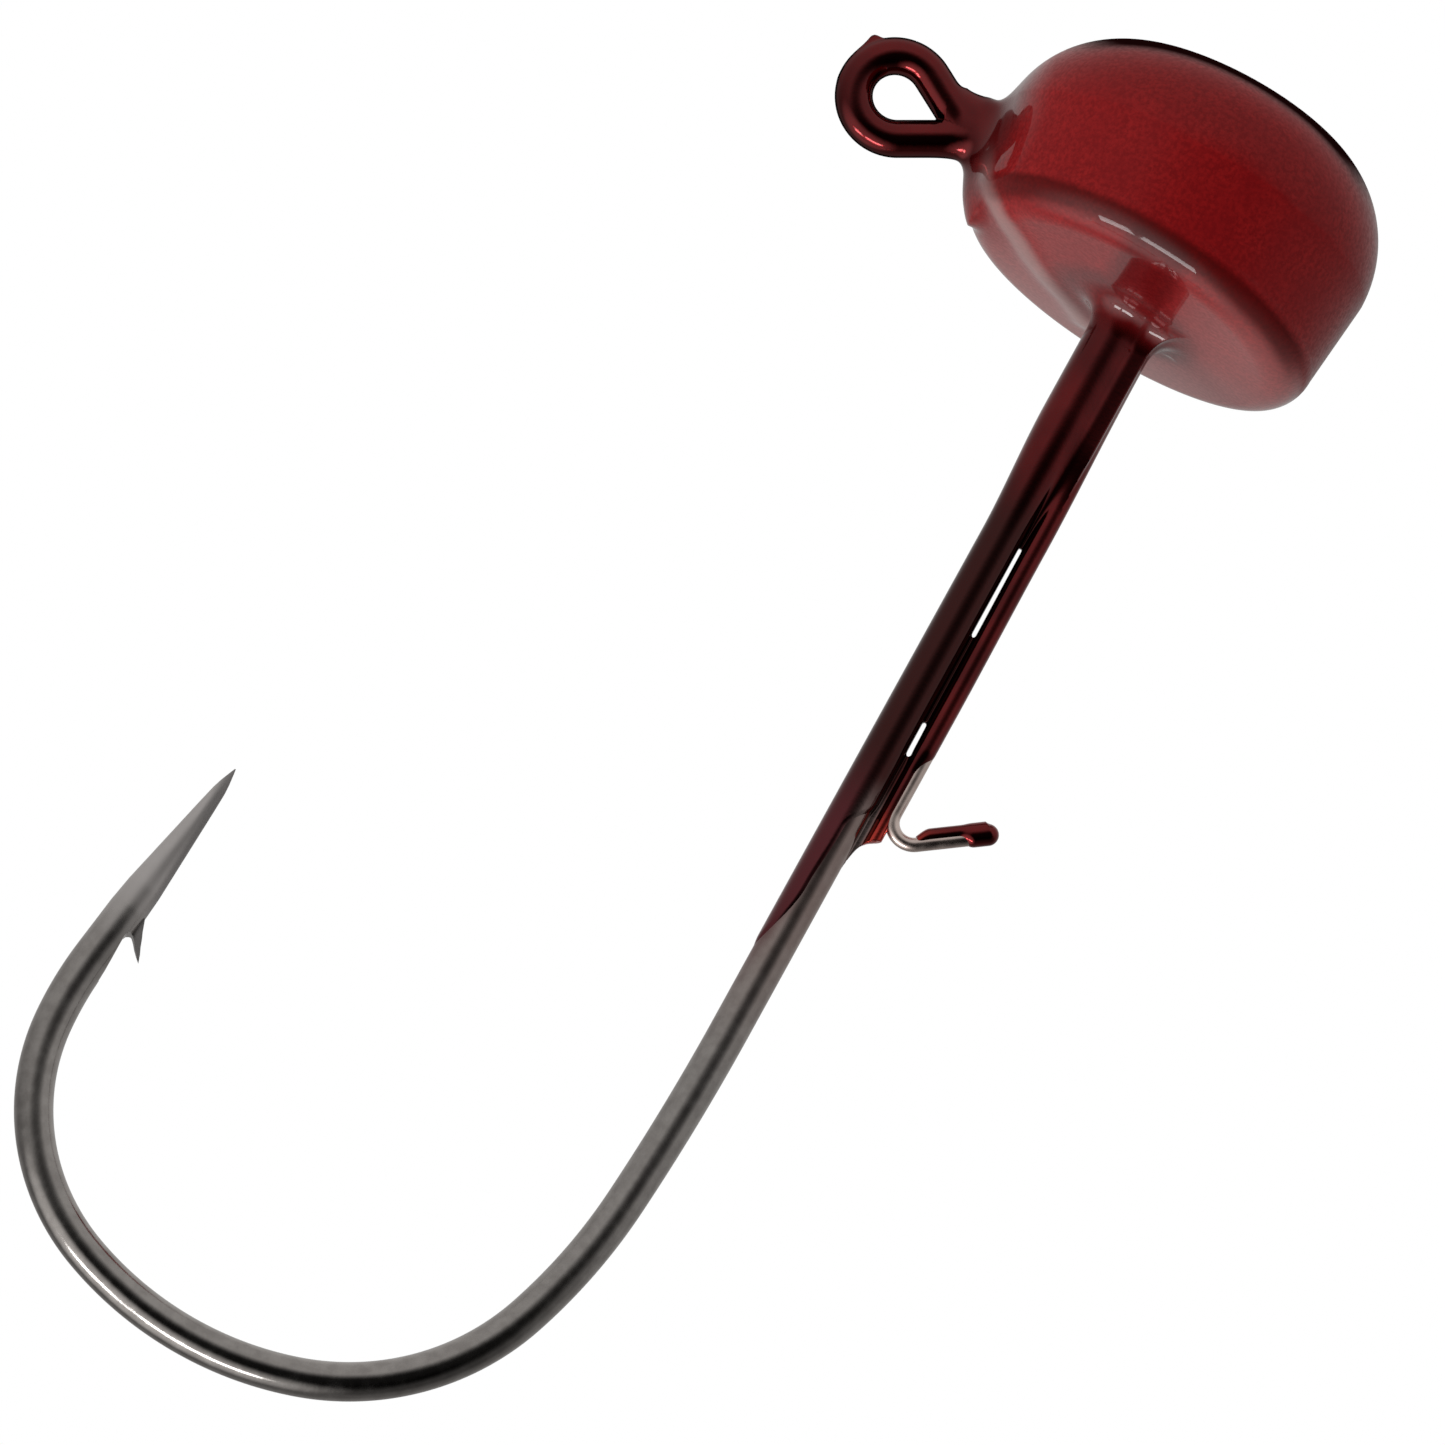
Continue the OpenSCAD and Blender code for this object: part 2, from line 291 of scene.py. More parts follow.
def stem_distance(x, y, z):
    """The stem under the eye, which widens to a soft foot on the head."""
    spread = np.exp(-np.maximum(z - 4.25, 0.0) / 0.40) * ramp(z, 3.5, 4.5)
    half_x = 0.66 + 1.05 * spread
    half_y = 0.52 + 0.22 * spread - 0.26 * ramp(z, 5.1, 5.8)
    middle = BOSS_X - 0.28 + 0.44 * ramp(z, 4.6, 5.3) - 0.10 * ramp(z, 5.3, 6.0)
    across = np.hypot((x - middle) / half_x, y / half_y) - 1.0
    return np.maximum(across * 0.55, np.maximum(z - 5.75, 1.5 - z))


def coat_distance(x, y, z):
    """Signed distance, in millimetres, to the outside of the red coat."""
    head = head_distance(x, y, z)
    shank = np.hypot(y, z) - shank_radius(x, z)
    shank = np.maximum(np.maximum(shank, COAT_END - x), x - 1.0)
    groove = 0.07 + 0.45 * ramp(x, -6.5, -2.5)
    keeper = np.maximum(keeper_distance(x, y, z), x - 1.0)
    bar = smooth_min(smooth_min(shank, keeper, groove), web_distance(x, y, z), 0.09)
    body = smooth_min(head, bar, NECK_BLEND)
    eye = smooth_min(eye_distance(x, y, z), stem_distance(x, y, z), EYE_BLEND)
    body = smooth_min(body, eye, FOOT_BLEND)
    body = body - RUN_HEIGHT * run_ridge(x, y, z)
    return np.minimum(body, leg_distance(x, y, z))


def gradient(field, points, step=0.004):
    """Central-difference gradient of a field at points of shape (n, 3)."""
    out = np.empty_like(points)
    for axis in range(3):
        hi, lo = points.copy(), points.copy()
        hi[:, axis] += step
        lo[:, axis] -= step
        out[:, axis] = (field(*hi.T) - field(*lo.T)) / (2 * step)
    return out


# ---- surface nets: a quad mesh of a field's zero surface on an uneven grid ----------------

def grid_line(*spans):
    """Grid coordinates from (start, stop, step) spans that follow one another."""
    parts = [np.linspace(a, b, max(2, int(round((b - a) / s)) + 1))[:-1] for a, b, s in spans]
    return np.concatenate(parts + [[spans[-1][1]]])


def sample(field, xs, ys, zs, reach, slab_size=16):
    """Field values on the grid; slabs along X are only sampled where reach says the surface can be."""
    values = np.full((len(xs), len(ys), len(zs)), FAR, np.float32)
    for i in range(0, len(xs), slab_size):
        slab = slice(i, min(i + slab_size, len(xs)))
        y_lim, z_low, z_high = reach(xs[slab][0], xs[slab][-1])
        j = np.nonzero(np.abs(ys) <= y_lim)[0]
        k = np.nonzero((zs >= z_low) & (zs <= z_high))[0]
        block = field(xs[slab][:, None, None], ys[j][None, :, None], zs[k][None, None, :])
        values[slab, j[0]:j[-1] + 1, k[0]:k[-1] + 1] = block
    return values


def surface_net(values, xs, ys, zs):
    """Vertices and quads of the zero surface of sampled values."""
    inside = values < 0
    corners = [(a, b, c) for a in (0, 1) for b in (0, 1) for c in (0, 1)]
    nx, ny, nz = values.shape

    def corner(array, a, b, c):
        return array[a:nx - 1 + a, b:ny - 1 + b, c:nz - 1 + c]

    some = np.zeros((nx - 1, ny - 1, nz - 1), bool)
    every = np.ones_like(some)
    for a, b, c in corners:
        some |= corner(inside, a, b, c)
        every &= corner(inside, a, b, c)
    active = np.nonzero(some & ~every)
    index = np.full(some.shape, -1, np.int32)
    index[active] = np.arange(len(active[0]))

    grid = (xs, ys, zs)
    total = np.zeros((len(active[0]), 3))
    count = np.zeros(len(active[0]))
    for a, b, c in corners:
        for axis in range(3):
            end = [a, b, c]
            if end[axis]:
                continue
            end[axis] = 1
            v0 = values[active[0] + a, active[1] + b, active[2] + c]
            v1 = values[active[0] + end[0], active[1] + end[1], active[2] + end[2]]
            cross = (v0 < 0) != (v1 < 0)
            t = np.where(cross, v0 / np.where(cross, v0 - v1, 1.0), 0.0)
            start = (a, b, c)
            for d in range(3):
                low = grid[d][active[d] + start[d]]
                high = grid[d][active[d] + end[d]]
                total[:, d] += np.where(cross, low + t * (high - low), 0.0)
            count += cross
    verts = total / count[:, None]

    quads = []
    for axis in range(3):
        u, v = (axis + 1) % 3, (axis + 2) % 3
        lo = [slice(None)] * 3
        hi = [slice(None)] * 3
        lo[axis], hi[axis] = slice(0, -1), slice(1, None)
        change = inside[tuple(lo)] != inside[tuple(hi)]
        at = list(np.nonzero(change))
        keep = (at[u] > 0) & (at[v] > 0) & (at[u] < values.shape[u] - 1) & (at[v] < values.shape[v] - 1)
        at = [q[keep] for q in at]
        cells = []
        for du, dv in ((1, 1), (0, 1), (0, 0), (1, 0)):
            cell = [q.copy() for q in at]
            cell[u] -= du
            cell[v] -= dv
            cells.append(index[tuple(cell)])
        quad = np.stack(cells, 1)
        flip = ~inside[tuple(at)]
        quad[flip] = quad[flip][:, ::-1]
        quads.append(quad)
    return verts, np.concatenate(quads).tolist()


def settle(field, verts, rounds=3, most=0.05):
    """Moves points onto the field's zero surface and returns them with their unit normals."""
    for _ in range(rounds):
        g = gradient(field, verts)
        size = np.maximum((g * g).sum(1), 1e-6)
        move = g * (field(*verts.T) / size)[:, None]
        length = np.maximum(np.linalg.norm(move, axis=1), 1e-9)
        verts = verts - move * np.minimum(1.0, most / length)[:, None]
    g = gradient(field, verts)
    return verts, g / np.maximum(np.linalg.norm(g, axis=1), 1e-9)[:, None]


# ---- wires: round bars swept along a path in the XZ plane ---------------------------------

def arc_points(centre, radius, a0, a1, step):
    """Points of an arc in the XZ plane, angles in degrees from +X towards +Z, without the first one."""
    n = max(2, int(math.ceil(abs(math.radians(a1 - a0)) * radius / step)))
    a = np.radians(a0 + (a1 - a0) * np.arange(1, n + 1) / n)
    return [centre + radius * np.array([math.cos(t), math.sin(t)]) for t in a]


def line_points(p, q, step):
    """Points along the line p-q, without the first one."""
    n = max(1, int(math.ceil(np.linalg.norm(np.subtract(q, p)) / step)))
    return [np.asarray(p) + (np.asarray(q) - np.asarray(p)) * i / n for i in range(1, n + 1)]


def hook_path():
    """Axis of the hook wire from the eye's closed end to the point, and the index where the spear starts."""
    eye_x, eye_z = EYE
    foot = np.array([eye_x, eye_z - EYE_CLOSE])
    closing = math.asin(EYE_LOOP_R / EYE_CLOSE)
    ring_start = EYE + EYE_LOOP_R * np.array([math.cos(closing), -math.sin(closing)])
    wire_end = ring_start + 0.7 * (foot - ring_start)
    tilt = math.degrees(closing)
    pts = [wire_end] + line_points(wire_end, ring_start, 0.1)
    pts += arc_points(EYE, EYE_LOOP_R, -tilt, 180 + tilt, 0.06)
    pts += line_points(pts[-1], foot + 0.15 * (pts[-1] - foot), 0.1)
    pts += line_points(pts[-1], foot + np.array([0.0, -0.35]), 0.08)
    pts += line_points(pts[-1], (eye_x, HEAD_TURN_R), 0.4)
    pts += arc_points(np.array([eye_x - HEAD_TURN_R, HEAD_TURN_R]), HEAD_TURN_R, 0, -90, 0.1)
    pts += line_points(pts[-1], (SHANK_END, 0.0), 0.4)
    heading = 0.0
    for radius, angle in BEND:
        h = math.radians(heading)
        centre = pts[-1] + radius * np.array([math.sin(h), math.cos(h)])
        pts += arc_points(centre, radius, -90 - heading, -90 - heading - angle, 0.14)
        heading += angle
    spear_start = len(pts) - 1
    h = math.radians(heading)
    along = np.array([-math.cos(h), math.sin(h)])
    pts += line_points(pts[-1], pts[-1] + (SPEAR_LEN - 0.06) * along, 0.07)
    pts += [pts[-1] + 0.06 * along]
    return np.array(pts), spear_start, along


def bend_reach():
    """How far the bend reaches beyond the end of the straight shank, to the wire's outside."""
    x, heading, far = 0.0, 0.0, 0.0
    for radius, angle in BEND:
        for part in np.linspace(0, angle, 200):
            t = math.radians(heading + part)
            far = min(far, x + radius * (math.sin(math.radians(heading)) - math.sin(t)))
        x += radius * (math.sin(math.radians(heading)) - math.sin(math.radians(heading + angle)))
        heading += angle
    return far - WIRE_R


SHANK_END = HOOK_LOW[0] - bend_reach()


def sweep(name, path, radii, sides, squash=None):
    """A closed round bar along a path in the XZ plane. squash narrows it across Y, one value a ring."""
    path, radii = np.asarray(path), np.asarray(radii)
    tangent = np.gradient(path, axis=0)
    tangent /= np.linalg.norm(tangent, axis=1)[:, None]
    side = np.stack([-tangent[:, 1], tangent[:, 0]], 1)
    turn = 2 * math.pi * np.arange(sides) / sides
    squash = np.ones(len(path)) if squash is None else squash
    ring_u = radii[:, None] * np.cos(turn)[None]
    ring_y = (radii * squash)[:, None] * np.sin(turn)[None]
    x = path[:, 0:1] + side[:, 0:1] * ring_u
    z = path[:, 1:2] + side[:, 1:2] * ring_u
    verts = np.stack([x, ring_y, z], -1).reshape(-1, 3)
    n = len(path)
    a = np.arange(n - 1)[:, None] * sides
    j = np.arange(sides)[None]
    k = (j + 1) % sides
    faces = np.stack([a + j, a + k, a + sides + k, a + sides + j], -1).reshape(-1, 4).tolist()
    verts = np.vstack([verts, [path[0][0], 0, path[0][1]], [path[-1][0], 0, path[-1][1]]])
    first, last, base = len(verts) - 2, len(verts) - 1, (n - 1) * sides
    faces += [[first, (i + 1) % sides, i] for i in range(sides)]
    faces += [[last, base + i, base + (i + 1) % sides] for i in range(sides)]
    return make_object(name, verts, faces)


# ---- pieces ------------------------------------------------------------------------------

def anywhere(x0, x1):
    """Half width in Y and Z range that leave nothing out."""
    return 99.0, -99.0, 99.0


def coat_reach(x0, x1):
    """Half width in Y and the Z range that the coat can fill between two X positions."""
    if x1 < -10.5:
        return 0.7, -3.7, 0.7
    if x1 < -1.6:
        return 0.9, -1.4, 0.9
    return anywhere(x0, x1)


def coat_grid(fine):
    """Grid lines that are close together along the shank, the keeper and the eye."""
    coarse = 2.2 * fine
    xs = grid_line((-18.8, -3.0, fine), (-3.0, 1.0, 1.5 * fine), (1.0, HEAD_H + 0.2, coarse))
    ys = grid_line((-HEAD_R - 0.3, -0.75, coarse), (-0.75, 0.75, fine), (0.75, HEAD_R + 0.3, coarse))
    zs = grid_line((-HEAD_R - 0.3, -3.7, coarse), (-3.7, 0.8, fine), (0.8, 4.4, coarse),
                   (4.4, COAT_HIGH[2] + 0.3, 1.3 * fine))
    return xs, ys, zs


def build_coat():
    grid = coat_grid(COAT_STEP)
    verts, quads = surface_net(sample(coat_distance, *grid, coat_reach), *grid)
    verts, normals = settle(coat_distance, verts)
    obj = make_object("red_coat_skin", verts, quads, normals)
    ridge = obj.data.attributes.new("ridge", "FLOAT", "POINT")
    ridge.data.foreach_set("value", run_ridge(*verts.T).astype(np.float32))
    return obj


def lead_distance(x, y, z):
    """The casting inside the coat, with its collar cut off square behind the head."""
    return np.maximum(coat_distance(x, y, z) + COAT_T, np.maximum(-2.9 - x, z - 5.2))


def build_lead():
    xs = grid_line((-3.1, HEAD_H + 0.2, LEAD_STEP))
    ys = grid_line((-HEAD_R - 0.3, HEAD_R + 0.3, LEAD_STEP))
    zs = grid_line((-HEAD_R - 0.3, 5.6, LEAD_STEP))
    verts, quads = surface_net(sample(lead_distance, xs, ys, zs, anywhere), xs, ys, zs)
    verts, normals = settle(lead_distance, verts, 2)
    return make_object("lead_casting", verts, quads, normals)


def build_hook():
    path, spear_start, along = hook_path()
    step = np.linalg.norm(np.diff(path, axis=0), axis=1)
    left = np.concatenate([np.cumsum(step[::-1])[::-1], [0.0]])       # length left to the point
    radii = np.interp(left, SPEAR_LEFT, SPEAR_R)
    in_eye = (path[:, 1] > EYE[1] - EYE_CLOSE - 0.2) & (path[:, 0] > -1)
    radii = np.where(in_eye, EYE_WIRE_R, radii)
    squash = 1.0 - SPEAR_SQUASH * ramp(-left, -4.8, -3.0)
    obj = sweep("hook_wire", path, radii, HOOK_SIDES, squash)
    cut_barb(obj, path[spear_start], along)
    return obj


def prism(name, outline, half_y):
    """A closed bar with an outline in the XZ plane and a half width across Y at each of its points."""
    n = len(outline)
    verts = [(x, s * h, z) for s in (-1, 1) for (x, z), h in zip(outline, half_y)]
    faces = [list(range(n)), list(range(2 * n - 1, n - 1, -1))]
    faces += [[i, n + i, n + (i + 1) % n, (i + 1) % n] for i in range(n)]
    obj = make_object(name, verts, faces)
    recalc_normals(obj)
    return obj


def recalc_normals(obj):
    """Turns a closed mesh's faces outwards."""
    bm = bmesh.new()
    bm.from_mesh(obj.data)
    bmesh.ops.recalc_face_normals(bm, faces=bm.faces)
    bm.to_mesh(obj.data)
    bm.free()


def boolean(obj, tool, operation):
    """Applies an exact boolean and removes the tool."""
    mod = obj.modifiers.new("cut", "BOOLEAN")
    mod.object, mod.operation, mod.solver = tool, operation, "EXACT"
    dg = bpy.context.evaluated_depsgraph_get()
    mesh = bpy.data.meshes.new_from_object(obj.evaluated_get(dg))
    obj.modifiers.clear()
    obj.data = mesh
    bpy.data.objects.remove(tool)


def cut_barb(obj, start, along):
    """Lifts the barb out of the spear's inner side, with the chisel cut behind it."""
    inward = np.array([along[1], -along[0]])
    if inward[1] > 0:
        inward = -inward

    def place(points):
        return [tuple(start + s * along + t * inward) for s, t in points]

    cut = [(-0.55, 0.60), (-0.45, 0.465), (-0.10, 0.43), (0.30, 0.375), (0.60, 0.33), (0.80, 0.305),
           (0.88, 0.335), (0.905, 0.39), (0.88, 0.60)]
    boolean(obj, prism("cut", place(cut), [0.6] * len(cut)), "DIFFERENCE")
    barb = [(1.48, 0.36), (1.36, 0.475), (1.23, 0.54), (1.11, 0.60), (0.98, 0.68), (0.80, 0.775),
            (0.65, 0.87), (0.47, 0.96), (0.57, 0.83), (0.68, 0.70), (0.80, 0.58), (0.885, 0.48),
            (0.91, 0.40), (0.95, 0.30)]
    half = [0.17, 0.17, 0.16, 0.15, 0.125, 0.09, 0.055, 0.008, 0.06, 0.09, 0.125, 0.155, 0.16, 0.17]
    boolean(obj, prism("barb", place(barb), half), "UNION")
    obj.data.shade_smooth()
    obj.data.set_sharp_from_angle(angle=math.radians(38))


def build_keeper():
    turn = math.pi - LEG_ANGLE
    back = LEG_BEND_R * math.tan(turn / 2)
    start = CORNER + np.array([back, 0.0])
    run = np.linspace(KEEPER_IN, start[0], 80)
    pts = list(np.stack([run, KEEPER_Z + keeper_rise(run)], 1))
    pts += arc_points(start - np.array([0.0, LEG_BEND_R]), LEG_BEND_R, 90, 90 + math.degrees(turn), 0.03)
    pts += line_points(pts[-1], CORNER + (LEG_LEN - 0.12) * LEG, 0.08)
    return sweep("keeper_wire_bar", pts, np.full(len(pts), KEEPER_R), KEEPER_SIDES)


# ---- camera axes -------------------------------------------------------------------------

# The photograph looks along +Y, from 15 degrees towards the tail, with the shank rising to the upper right.
AZIMUTH = math.radians(-14.7)
SHANK_ANGLE = math.radians(61.09)
CAMERA_DISTANCE = 1.2               # metres
VIEW_WIDTH = 34.097                 # width of the picture at the object
ORIGIN_IN_VIEW = (9.449, 9.576)     # where the frame's origin sits, right of and above the picture's centre

TO_CAMERA = Vector((math.sin(AZIMUTH), -math.cos(AZIMUTH), 0.0))
LEVEL = Vector((math.cos(AZIMUTH), math.sin(AZIMUTH), 0.0))
RIGHT = math.cos(SHANK_ANGLE) * LEVEL - math.sin(SHANK_ANGLE) * Vector((0, 0, 1))
UP = math.sin(SHANK_ANGLE) * LEVEL + math.cos(SHANK_ANGLE) * Vector((0, 0, 1))


def in_view(right, up, towards):
    """A direction given along the picture's right and up and towards the camera."""
    return (RIGHT * right + UP * up + TO_CAMERA * towards).normalized()


HIGH = in_view(0.42, 0.88, 0.0)     # where the pale part of the studio is


def add_camera():
    data = bpy.data.cameras.new("camera")
    data.sensor_width = 36.0
    data.lens = data.sensor_width * CAMERA_DISTANCE / (VIEW_WIDTH * MM)
    data.clip_start, data.clip_end = 0.05, 10.0
    camera = bpy.data.objects.new("camera", data)
    bpy.context.scene.collection.objects.link(camera)
    target = -(RIGHT * ORIGIN_IN_VIEW[0] + UP * ORIGIN_IN_VIEW[1]) * MM
    place = Matrix((RIGHT, UP, TO_CAMERA)).transposed().to_4x4()
    place.translation = target + TO_CAMERA * CAMERA_DISTANCE
    camera.matrix_world = place
    bpy.context.scene.camera = camera


# ---- node helpers ------------------------------------------------------------------------

class Nodes:
    """A short way to add nodes to a material's or a world's tree."""

    def __init__(self, tree):
        self.tree = tree

    def add(self, kind, inputs=None, **settings):
        node = self.tree.nodes.new(kind)
        for key, value in settings.items():
            setattr(node, key, value)
        for key, value in (inputs or {}).items():
            self.feed(node.inputs[key], value)
        return node

    def feed(self, socket, value):
        if isinstance(value, bpy.types.NodeSocket):
            self.tree.links.new(value, socket)
        elif isinstance(value, tuple) and len(value) == 3 and socket.type == "RGBA":
            socket.default_value = (*value, 1.0)
        else:
            socket.default_value = value

    def feed_all(self, node, values):
        for name, value in values.items():
            self.feed(node.inputs[name], value)

    def axes(self, point):
        parts = self.add("ShaderNodeSeparateXYZ", {0: point}).outputs
        return parts["X"], parts["Y"], parts["Z"]

    def math(self, operation, a, b):
        return self.add("ShaderNodeMath", {0: a, 1: b}, operation=operation).outputs[0]

    def product(self, first, *others):
        for other in others:
            first = self.math("MULTIPLY", first, other)
        return first

    def inverse(self, value):
        """1 minus the value."""
        return self.math("SUBTRACT", 1.0, value)

    def ramp(self, value, x0, x1, y0=0.0, y1=1.0):
        """A smooth step in value from y0 at x0 to y1 at x1."""
        node = self.add("ShaderNodeMapRange", {0: value, 1: x0, 2: x1, 3: y0, 4: y1},
                        interpolation_type="SMOOTHSTEP", clamp=True)
        return node.outputs[0]

    def blend(self, factor, a, b):
        """The number a, going over to b as the factor goes from 0 to 1."""
        return self.add("ShaderNodeMix", {0: factor, 2: a, 3: b}).outputs[0]

    def mix(self, factor, a, b):
        """The colour a, going over to b as the factor goes from 0 to 1."""
        return self.add("ShaderNodeMix", {0: factor, 6: a, 7: b}, data_type="RGBA").outputs[2]

    def dot(self, vector, direction):
        node = self.add("ShaderNodeVectorMath", {0: vector, 1: tuple(direction)}, operation="DOT_PRODUCT")
        return node.outputs["Value"]

    def noise(self, point, scale, detail, roughness):
        node = self.add("ShaderNodeTexNoise", {"Vector": point, "Scale": scale, "Detail": detail,
                                               "Roughness": roughness})
        return node.outputs["Fac"]

    def stretched(self, point, along, across):
        """The point scaled for noise that is drawn out along X."""
        return self.add("ShaderNodeMapping", {"Vector": point, "Scale": (along, across, across)}).outputs[0]

    def distance(self, point, target):
        node = self.add("ShaderNodeVectorMath", {0: point, 1: target}, operation="DISTANCE")
        return node.outputs["Value"]

    def bump(self, height, depth):
        """A normal for a height from 0 to 1 that stands for a depth in millimetres."""
        node = self.add("ShaderNodeBump", {"Height": height, "Distance": depth * MM, "Strength": 1.0})
        return node.outputs["Normal"]


def new_material(name):
    """A node material: its nodes, its Principled shader and the object-space point in millimetres."""
    material = bpy.data.materials.new(name)
    material.use_nodes = True
    n = Nodes(material.node_tree)
    shader = next(node for node in n.tree.nodes if node.type == "BSDF_PRINCIPLED")
    point = n.add("ShaderNodeTexCoord").outputs["Object"]
    point = n.add("ShaderNodeVectorMath", {0: point, "Scale": 1.0 / MM}, operation="SCALE").outputs["Vector"]
    return material, n, shader, point


# ---- materials ---------------------------------------------------------------------------

# the coat on the head
FLAKE_DARK = (0.27, 0.005, 0.007)
FLAKE_LIGHT = (0.43, 0.013, 0.014)
CLOUD = (0.29, 0.006, 0.009)
# painted sheen: a pale reflection put into the colour of the far and low parts of the back face
PAINTED_SHEEN = (0.50, 0.36, 0.35)
# painted highlight along the low ridge in the coat
RIDGE_HIGHLIGHT_PAINT = (0.55, 0.40, 0.38)
# painted dark reflection of the stem and shank in the glossy coat
DARK_REFLECTION_PAINT = (0.050, 0.002, 0.003)
# painted shade on the near side of the back rim
RIM_SHADE_PAINT = (0.050, 0.002, 0.002)
# painted shade on the nose's upper edge
NOSE_EDGE_SHADE_PAINT = (0.015, 0.003, 0.003)
# and on the wires, where it is a film over bright steel
WIRE_DARK = (0.095, 0.005, 0.006)
WIRE_LIGHT = (0.15, 0.008, 0.009)
THIN = (0.050, 0.007, 0.006)
# painted glow of backlight through the thin film between shank and keeper
WEB_BACKLIGHT_PAINT = (0.55, 0.045, 0.03)
TAIL = (0.115, 0.018, 0.024)
WORN = (0.25, 0.19, 0.18)
# painted dark reflection on the eye ring's edges
EYE_RIM_DARK_REFLECTION = (0.006, 0.001, 0.001)

NICKEL_DARK = (0.28, 0.262, 0.25)
NICKEL_LIGHT = (0.36, 0.34, 0.325)
GROUND_STEEL = (0.53, 0.505, 0.495)
CUT_STEEL = (0.30, 0.285, 0.28)
FAINT_STAIN = (0.26, 0.14, 0.12)
RED_STAIN = (0.115, 0.020, 0.027)

KEEPER_DARK = (0.58, 0.47, 0.43)
KEEPER_LIGHT = (0.72, 0.60, 0.55)

LEAD_DARK = (0.22, 0.22, 0.235)
LEAD_LIGHT = (0.34, 0.34, 0.355)

FLOOR_DARK = (0.86, 0.86, 0.86)
FLOOR_LIGHT = (0.90, 0.90, 0.895)

BLACK = (0.0, 0.0, 0.0)
WHITE = (1.0, 1.0, 1.0)


def coat_places(n, point):
    """Where a point of the coat is: its coordinates, what the noises give there, and masks from 0 to 1."""
    at = SimpleNamespace()
    at.x, at.y, at.z = n.axes(point)
    at.flake = n.noise(point, 9.5, 2.0, 0.6)
    at.cloud = n.noise(point, 0.9, 3.0, 0.5)
    at.ridge = n.add("ShaderNodeAttribute", attribute_name="ridge").outputs["Fac"]
    at.glance = n.add("ShaderNodeLayerWeight", {"Blend": 0.5}).outputs["Facing"]
    normal = n.add("ShaderNodeNewGeometry").outputs["Normal"]
    at.backward = n.dot(normal, (-1.0, 0.0, 0.0))
    at.from_foot = n.distance(point, (BOSS_X, 0.0, 4.4))
    at.on_head = n.product(n.ramp(at.x, -0.9, 0.1), n.ramp(at.z, 4.4, 5.3, 1.0, 0.0))
    at.on_back = n.ramp(at.backward, 0.25, 0.62)
    # painted shade round the near side of the back rim
    at.thick = n.product(n.ramp(at.backward, 0.08, 0.32), n.ramp(at.backward, 0.60, 0.88, 1.0, 0.0),
                         n.ramp(at.y, -2.6, -0.6, 0.72, 0.0))
    # painted shade on the nose's upper edge, where it is seen at a glancing angle and faces the pale part of
    # the studio
    at.nose_edge = n.product(n.ramp(at.glance, 0.58, 0.76), n.ramp(at.x, 3.0, 4.4),
                             n.ramp(n.dot(normal, HIGH), 0.55, 0.85))
    at.on_shank = n.ramp(at.z, -0.68, -0.56)
    # the side of the shank's tail that faces away from the point
    at.worn = n.product(n.ramp(at.x, -14.0, -12.7, 1.0, 0.0), n.ramp(at.z, -0.25, 0.05, 1.0, 0.0),
                        at.on_shank)
    # painted dark reflection on the eye's edges, where they are seen at a glancing angle
    at.eye_rim = n.product(n.ramp(at.z, 4.9, 5.6), n.ramp(at.glance, 0.35, 0.80))
    return at


def painted_dark_reflection(n, point, at):
    """Painted dark reflection: round the neck, from there to the near rim, and round the eye's foot."""
    across = n.add("ShaderNodeVectorMath", {0: point, 1: (0.0, 1.0, 1.0)}, operation="MULTIPLY")
    from_neck = n.distance(across.outputs["Vector"], (0.0, 0.0, 0.0))
    dark_reflection = n.math("MAXIMUM", n.ramp(from_neck, 1.5, 2.4, 0.55, 0.0),
                    n.ramp(at.from_foot, 1.0, 2.6, 0.72, 0.0))
    run = n.product(n.ramp(at.z, -1.0, -0.5), n.ramp(at.z, 0.6, 1.1, 0.5, 0.0), at.on_back,
                    n.ramp(at.y, -1.6, -0.8, 1.0, 0.0))
    return n.math("MAXIMUM", dark_reflection, run)


def head_red(n, point, at):
    """Red with a fine flake: a pale painted sheen on the far and low parts of the back face, a painted
    highlight along the ridge, painted dark reflections round the neck and the eye's foot, and painted shade
    on the near rim and the nose's upper edge.
    """
    red = n.mix(n.ramp(at.flake, 0.30, 0.72), FLAKE_DARK, FLAKE_LIGHT)
    red = n.mix(n.ramp(at.cloud, 0.3, 0.7, 0.0, 0.5), red, CLOUD)
    far_or_low = n.math("MAXIMUM", n.ramp(at.y, -1.0, 4.4), n.ramp(at.z, -3.4, 0.0, 0.42, 0.0))
    # painted sheen on the far and low parts of the back face
    red = n.mix(n.product(far_or_low, n.ramp(at.backward, 0.3, 0.8, 0.0, 0.5)), red, PAINTED_SHEEN)
    # painted highlight along the ridge
    red = n.mix(n.ramp(at.ridge, 0.3, 1.0, 0.0, 0.55), red, RIDGE_HIGHLIGHT_PAINT)
    # painted dark reflection round the neck and the eye's foot
    red = n.mix(painted_dark_reflection(n, point, at), red, DARK_REFLECTION_PAINT)
    red = n.mix(at.thick, red, RIM_SHADE_PAINT)
    return n.mix(at.nose_edge, red, NOSE_EDGE_SHADE_PAINT)


